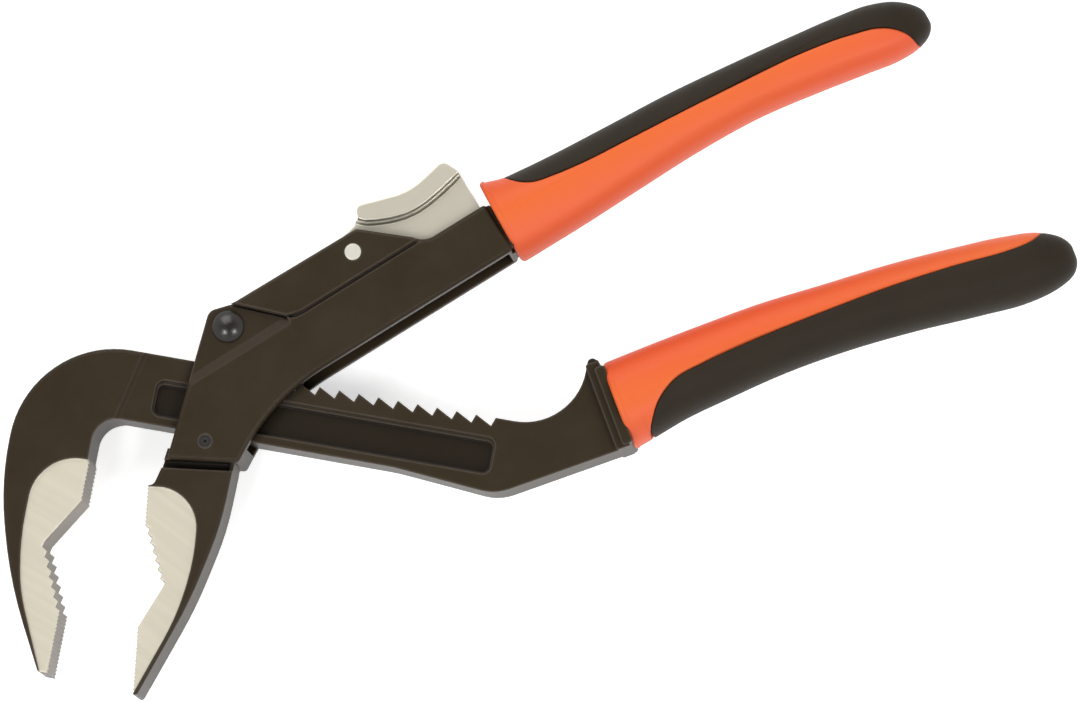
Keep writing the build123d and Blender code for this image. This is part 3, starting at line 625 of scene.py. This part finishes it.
def grip_skin(run, turns, inset, crease):
    """Places on a grip, or inset inside it, from its sections and the turns about its middle.

    run holds, for each section, its place along the grip, upper height, lower height and half
    thickness. A place is the fuller oval's point. Below the crease's height its depth is drawn
    in by a plane that leans inwards, and the two meet in a soft edge.
    """
    along, upper, lower, half = [run[:, i, None] for i in range(4)]
    height = np.maximum((upper - lower) / 2 - inset, 0)
    depth = np.maximum(half - inset, 0)
    across = (upper + lower) / 2 + height * fuller(np.cos(turns))
    out = depth * fuller(np.sin(turns))
    place, lean, fade = crease
    plane = depth * 0.985 - lean * np.clip(1 - along / fade, 0, 1) ** 0.5 * (place - across)
    size = np.abs(out)
    limited = -crease_soft * np.logaddexp(-size / crease_soft, -plane / crease_soft)
    drawn_in = np.maximum(np.minimum(size, limited), 0)
    out = np.sign(out) * np.where(across < place + 0.002, drawn_in, size)
    return np.stack([np.broadcast_to(along, across.shape), across, out], axis=-1)


def skin_of(name, places, material, flip, marks=None):
    """A smooth mesh through a grid of places, joined round its columns, with marks per place."""
    rows, columns = places.shape[:2]
    number = np.arange(rows * columns).reshape(rows, columns)
    number = np.concatenate([number, number[:, :1]], axis=1)
    a, b, c, d = number[:-1, :-1], number[:-1, 1:], number[1:, 1:], number[1:, :-1]
    faces = np.stack([a, b, c, d] if flip else [a, d, c, b], axis=-1).reshape(-1, 4)
    mesh = bpy.data.meshes.new(name)
    mesh.from_pydata(places.reshape(-1, 3), [], faces)
    mesh.polygons.foreach_set("use_smooth", np.ones(len(faces), bool))
    for label, values in (marks or {}).items():
        attribute = mesh.attributes.new(label, "FLOAT", "POINT")
        attribute.data.foreach_set("value", np.ascontiguousarray(values, np.float32).ravel())
    mesh.materials.append(material)
    return in_scene(name, mesh)


def placed(points, reach, drop, turn, flip):
    """Points of a grip, moved to where its mouth's middle stands, seen from the rivet."""
    x, y, z = points[..., 0], points[..., 1] * flip, points[..., 2]
    return np.stack([rivet_at[0] + reach + x * np.cos(turn) - y * np.sin(turn),
                     rivet_at[1] + drop + x * np.sin(turn) + y * np.cos(turn),
                     rivet_at[2] + z], axis=-1)


def divide_turn(run, line):
    """Half the angle that the pad covers at each section, from the height where it ends.

    It is the turn at which the fuller oval reaches that height: the arc cosine of the height's
    share of the half height, to half the fullness.
    """
    along, upper, lower, _ = run.T
    height = np.interp(along, line[:, 0], line[:, 1])
    share = np.clip((height - (upper + lower) / 2) / np.maximum((upper - lower) / 2, 1e-9), -1, 1)
    return np.arccos(np.sign(share) * np.abs(share) ** (fullness / 2))


def core_places(run, cover, reach, pad_start, crease):
    """The core's rings: round its bare side, over its edge, and back under the pad.

    Each ring runs from the bottom to the seam on one side and then under the pad to the top, and
    its other half is the mirror of that. The front edge is a quarter round, closed by rings that
    draw in to the middle of the mouth.
    """
    step = ((seam + core_edge) / reach)[:, None]
    first = cover[:, None]
    bare = np.pi - np.linspace(0, 1, bare_steps)[None, :] * np.maximum(np.pi - first - step, 0)
    edge = first + step * np.array([[0.7, 0.45, 0.25, 0.1, 0.0]])
    under = first * (1 - np.linspace(0, 1, hidden_steps)[None, 1:])
    turns = np.clip(np.concatenate([bare, edge, under], axis=1), 0, np.pi)
    edge_depths = np.array([[0.00004, 0.00012, 0.00026, 0.00055, 0.0009]])
    sunk = np.concatenate([np.zeros_like(bare), np.broadcast_to(edge_depths, edge.shape),
                           np.full_like(under, pad_depth + seam)], axis=1)
    started = np.clip((run[:, 0] - pad_start) / 0.0008, 0, 1)[:, None]
    sunk = sunk * np.where(first > 0.001, started, 0)
    turns = np.concatenate([turns, -turns[:, -2:0:-1]], axis=1)
    sunk = np.concatenate([sunk, sunk[:, -2:0:-1]], axis=1)

    keep = run[:, 0] > mouth_round * 1.1
    swing = np.linspace(0, np.pi / 2, lip_steps)[:, None]
    lip = np.repeat(run[:1], lip_steps, axis=0)
    lip[:, 0] = mouth_round * (1 - np.cos(swing[:, 0]))
    ring = np.broadcast_to(turns[keep][:1], (lip_steps, turns.shape[1]))
    lip_sunk = np.broadcast_to(mouth_round * (1 - np.sin(swing)), ring.shape)
    mouth_sunk = np.array([[0.0088], [0.006], [0.0035], [0.0018]])
    mouth = np.repeat(run[:1], len(mouth_sunk), axis=0)
    mouth_ring = np.broadcast_to(ring[:1], (len(mouth_sunk), ring.shape[1]))
    places = grip_skin(
        np.concatenate([mouth, lip, run[keep]]),
        np.concatenate([mouth_ring, ring, turns[keep]]),
        np.concatenate([np.broadcast_to(mouth_sunk, mouth_ring.shape), lip_sunk, sunk[keep]]),
        crease)
    centre = places[:1].mean(axis=1, keepdims=True)
    return np.concatenate([np.broadcast_to(centre, places[:1].shape), places])


def pad_places(run, cover, reach, crease_place):
    """The pad's rings: a C-shaped section that closes where the pad goes all the way round.

    Each ring runs over the outside from one edge to the other, down that edge, back along the
    inside and up the first edge. Where the pad begins, the ring swells from half its depth.
    """
    on = cover > 0.02
    run, turn = run[on], cover[on][:, None]
    closed = np.where(turn > np.pi - 0.01, 1.0, 0.0)
    slip = (pad_edge / reach[on])[:, None] * (1 - closed)
    outer = np.linspace(-1, 1, outer_steps)[None, :] * (turn - slip)
    edge = turn - slip * np.array([[0.55, 0.25, 0.08, 0.0, 0.0, 0.0]])
    inner = -np.linspace(-1, 1, inner_steps)[None, :] * turn
    turns = np.concatenate([outer, edge, inner, -edge[:, ::-1]], axis=1)
    edge_sunk = np.array([[0.00004, 0.00012, 0.00026, 0.0004, 0.0007, 0.0009]]) * (1 - closed)
    sunk = np.concatenate([np.zeros_like(outer), edge_sunk, np.full_like(inner, pad_depth),
                           edge_sunk[:, ::-1]], axis=1)
    swell = np.clip((run[:, 0] - run[0, 0]) / 0.0003, 0, 1)[:, None] ** 0.5
    sunk = pad_depth / 2 + (sunk - pad_depth / 2) * swell
    return grip_skin(run, turns, sunk, (crease_place, 0.0, 1.0))


def make_grip(name, body, length, sections, line, pad_side, at, crease):
    """The core and the pad of one grip, as two closed skins.

    Sections are shares of the grip's length, width and thickness: the place along it, its upper
    side, its lower side and its half thickness. The line is where the pad ends, along and across.
    The grip is worked out with its pad above, and turned over where pad_side is below. at is
    where the mouth's middle stands and the grip's turn, and crease its height, lean and fade.
    """
    table = np.array(sections) * (length, grip_width, grip_width, grip_thickness)
    line = flowing(np.array(line) * (length, grip_width), 300)
    below = pad_side < 0
    if below:
        table[:, 1], table[:, 2] = -table[:, 2], -table[:, 1].copy()
        line[:, 1] *= -1
    nose = table[-1].copy()
    nose[1:3] = nose[1:3].mean()
    nose[3] = 0
    run = flowing(np.vstack([table, nose]), 260)
    run[:, 0] = np.minimum(run[:, 0], length)
    cover = divide_turn(run, line)
    reach = np.maximum((run[:, 1] - run[:, 2]) / 2, least_half)

    core = core_places(run, cover, reach, line[0, 0], crease)
    core_skin = skin_of(name + "_core_skin", placed(core, *at, pad_side), orange_material, below,
                        {"across": pad_side * core[..., 1] / grip_width})
    pad = pad_places(run, cover, reach, crease[0])
    pad_skin = skin_of(name + "_pad_skin", placed(pad, *at, pad_side), black_material, below)
    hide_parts(name + "_core")
    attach(core_skin, body)
    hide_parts(name + "_pad")
    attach(pad_skin, body)


# hard orange plastic: glossy-satin, with painted shading across the grip: darker and redder on the
# pad's side, paler on the other
orange_lit_side = (0.70, 0.110, 0.042, 1)
orange_middle = (0.70, 0.130, 0.030, 1)
orange_shade_side = (0.65, 0.068, 0.018, 1)
orange_patch = (0.64, 0.088, 0.020, 1)
orange_material, tree, shader = new_material("orange plastic")
place = add(tree, "ShaderNodeTexCoord").outputs["Object"]
mark = add(tree, "ShaderNodeAttribute", attribute_name="across")
# painted shading: the colour goes from the paler side across the grip's width to the darker pad
# side
ramp = add(tree, "ShaderNodeValToRGB", {"Fac": rescaled(tree, mark.outputs["Fac"], -0.45, 0.5)})
ramp.color_ramp.elements[0].color = orange_lit_side
ramp.color_ramp.elements[1].color = orange_shade_side
ramp.color_ramp.elements.new(0.45).color = orange_middle
skin = use(tree, grain, {"Place": place, "Grain size": 0.00035, "Patch size": 0.012})
tree.links.new(blend(tree, maths(tree, "MULTIPLY", skin["Patches"], 0.18),
                     ramp.outputs["Color"], orange_patch), shader.inputs["Base Color"])
tree.links.new(maths(tree, "MULTIPLY_ADD", skin["Height"], 0.10, 0.42), shader.inputs["Roughness"])
shader.inputs["Specular IOR Level"].default_value = 0.22
relief(tree, shader, skin["Height"], 0.12, 0.00004)

# soft black rubber: matte, with a fine spark-eroded grain
rubber_dark = (0.0165, 0.0115, 0.0065, 1)
rubber_pale = (0.025, 0.018, 0.0105, 1)
black_material, tree, shader = new_material("soft black rubber")
place = add(tree, "ShaderNodeTexCoord").outputs["Object"]
skin = use(tree, grain, {"Place": place, "Grain size": 0.00030, "Patch size": 0.009})
tree.links.new(blend(tree, skin["Patches"], rubber_dark, rubber_pale), shader.inputs["Base Color"])
tree.links.new(maths(tree, "MULTIPLY_ADD", skin["Height"], 0.12, 0.56), shader.inputs["Roughness"])
shader.inputs["Specular IOR Level"].default_value = 0.17
relief(tree, shader, skin["Height"], 0.45, 0.00006)

# the upper grip's mouth, along the arm and below its line
upper_reach, upper_drop, upper_way = 0.0572, 0.0101, arm_way - np.radians(2.7)
make_grip(
    "upper_grip", "moving_lever", length=0.0948, pad_side=1, crease=(-0.0018, 0.36, 0.090),
    at=(upper_reach * np.cos(arm_way) + upper_drop * np.sin(arm_way),
        upper_reach * np.sin(arm_way) - upper_drop * np.cos(arm_way), upper_way),
    sections=[
        (0.0, 0.500, -0.500, 0.500), (0.020, 0.466, -0.498, 0.492), (0.046, 0.425, -0.492, 0.479),
        (0.090, 0.402, -0.482, 0.466), (0.151, 0.383, -0.467, 0.455), (0.295, 0.361, -0.417, 0.443),
        (0.442, 0.344, -0.372, 0.432), (0.585, 0.294, -0.372, 0.432), (0.726, 0.233, -0.450, 0.443),
        (0.832, 0.178, -0.528, 0.443), (0.901, 0.122, -0.578, 0.415), (0.951, 0.022, -0.567, 0.347),
        (0.984, -0.111, -0.500, 0.239), (1.0, -0.244, -0.383, 0.085)],
    line=[
        (0.045, 0.470), (0.060, 0.350), (0.078, 0.245), (0.100, 0.172), (0.150, 0.115),
        (0.215, 0.078), (0.330, 0.055), (0.454, 0.033), (0.600, 0.000), (0.740, -0.050),
        (0.840, -0.135), (0.904, -0.235), (0.928, -0.330), (0.944, -0.440), (0.953, -0.560),
        (0.958, -0.620)])
make_grip(
    "lower_grip", "rack_lever", length=0.0959, pad_side=-1, crease=(-0.0200, 0.0, 1.0),
    at=(lower_mouth[0] * 0.001, lower_mouth[1] * 0.001, lower_way),
    sections=[
        (0.0, 0.489, -0.517, 0.500), (0.046, 0.494, -0.478, 0.477), (0.125, 0.500, -0.406, 0.455),
        (0.218, 0.500, -0.367, 0.443), (0.348, 0.489, -0.328, 0.432), (0.493, 0.433, -0.344, 0.432),
        (0.634, 0.378, -0.411, 0.438), (0.775, 0.289, -0.511, 0.443), (0.873, 0.211, -0.567, 0.415),
        (0.941, 0.122, -0.539, 0.347), (0.983, -0.011, -0.456, 0.239),
        (1.0, -0.161, -0.311, 0.085)],
    line=[
        (0.038, -0.520), (0.048, -0.430), (0.060, -0.344), (0.080, -0.215), (0.105, -0.105),
        (0.134, -0.022), (0.200, 0.035), (0.325, 0.078), (0.480, 0.092), (0.619, 0.089),
        (0.760, 0.050), (0.869, 0.000), (0.905, 0.004), (0.930, 0.028), (0.950, 0.090),
        (0.962, 0.200)])


# The table and the light. A plain white table without an edge, broad soft lamps over it at a
# plain level, and a long lens that looks down on the pliers from above and a little from one side.

table_half, table_level = 6.0, cad_box[0].z
mesh = bpy.data.meshes.new("table")
mesh.from_pydata([(-table_half, -table_half, table_level), (table_half, -table_half, table_level),
                  (table_half, table_half, table_level), (-table_half, table_half, table_level)],
                 [], [(0, 1, 2, 3)])
table = in_scene("table", mesh)
material, tree, shader = new_material("white table")
shader.inputs["Base Color"].default_value = (0.86, 0.86, 0.86, 1)
shader.inputs["Roughness"].default_value = 0.9
ray = add(tree, "ShaderNodeLightPath").outputs
seen = maths(tree, "MAXIMUM", ray["Is Camera Ray"],
             maths(tree, "MAXIMUM", ray["Is Glossy Ray"], ray["Is Transmission Ray"]))
shader.inputs["Emission Color"].default_value = (1, 1, 1, 1)
own_light = 0.55                         # what the lamps leave it short of white
tree.links.new(maths(tree, "MULTIPLY", seen, own_light), shader.inputs["Emission Strength"])
mesh.materials.append(material)

# the room: pale walls round about and a darker ceiling, and white where the camera sees it
world = bpy.data.worlds.new("studio")
bpy.context.scene.world = world
world.use_nodes = True
tree = world.node_tree
room = tree.nodes["Background"]
room.inputs["Color"].default_value = (1, 1, 1, 1)
ray = add(tree, "ShaderNodeLightPath").outputs
look = add(tree, "ShaderNodeTexCoord")
upward = add(tree, "ShaderNodeSeparateXYZ", {0: look.outputs["Generated"]}).outputs["Z"]
walls = rescaled(tree, upward, 0.60, 0.92, 0.90, 0.12)
tree.links.new(maths(tree, "MAXIMUM", ray["Is Camera Ray"], walls), room.inputs["Strength"])

photo_turn = np.radians(10.8)            # the photograph's level against the toothed bar
for name, side, up, height, size, power in (
        ("lower left lamp", -0.55, -0.60, 1.25, 0.35, 6.5),
        ("lower right lamp", 0.65, -0.55, 1.25, 0.35, 6.5),
        ("upper lamp", -0.35, 0.90, 1.10, 1.00, 9.0)):
    lamp = bpy.data.lights.new(name, "AREA")
    lamp.size = size
    lamp.energy = power
    holder = in_scene(name, lamp)
    holder.location = (side * np.cos(photo_turn) - up * np.sin(photo_turn),
                       side * np.sin(photo_turn) + up * np.cos(photo_turn), height)
    holder.rotation_mode = "QUATERNION"
    holder.rotation_quaternion = (-holder.location).to_track_quat("-Z", "Y")
bpy.context.scene.view_settings.view_transform = "Standard"

# The camera stands along the line of sight from the photograph's middle. That line meets the
# pliers' middle plane where the rivet's near end then falls on its own pixel of the photograph.
sight = np.array([0.098, -0.152, 1.0])
sight /= np.linalg.norm(sight)
right = np.cross((0, 1, 0), sight)
right /= np.linalg.norm(right)
above = np.cross(sight, right)
distance = 1.8
focal_pixels, frame_width, frame_height, film_width = 9000.0, 1080.0, 702.0, 36.0
rivet_pixel = (227.0 - frame_width / 2, frame_height / 2 - 325.2)
rivet_height = 0.008
ray_way = right * rivet_pixel[0] + above * rivet_pixel[1] - sight * focal_pixels
start = sight * distance
rivet_seen = start + ray_way * (rivet_height - start[2]) / ray_way[2]
turn = np.array([[np.cos(photo_turn), -np.sin(photo_turn), 0],
                 [np.sin(photo_turn), np.cos(photo_turn), 0], [0, 0, 1]])
middle = np.array(rivet_at) - turn @ np.array([rivet_seen[0], rivet_seen[1], 0])
camera = bpy.data.cameras.new("camera")
camera.lens = film_width * focal_pixels / frame_width
camera.sensor_width = film_width
camera.clip_start, camera.clip_end = 0.05, 20
holder = in_scene("camera", camera)
axes = np.eye(4)
axes[:3, 0], axes[:3, 1], axes[:3, 2] = turn @ right, turn @ above, turn @ sight
axes[:3, 3] = middle + turn @ start
holder.matrix_world = Matrix(axes.tolist())
bpy.context.scene.camera = holder
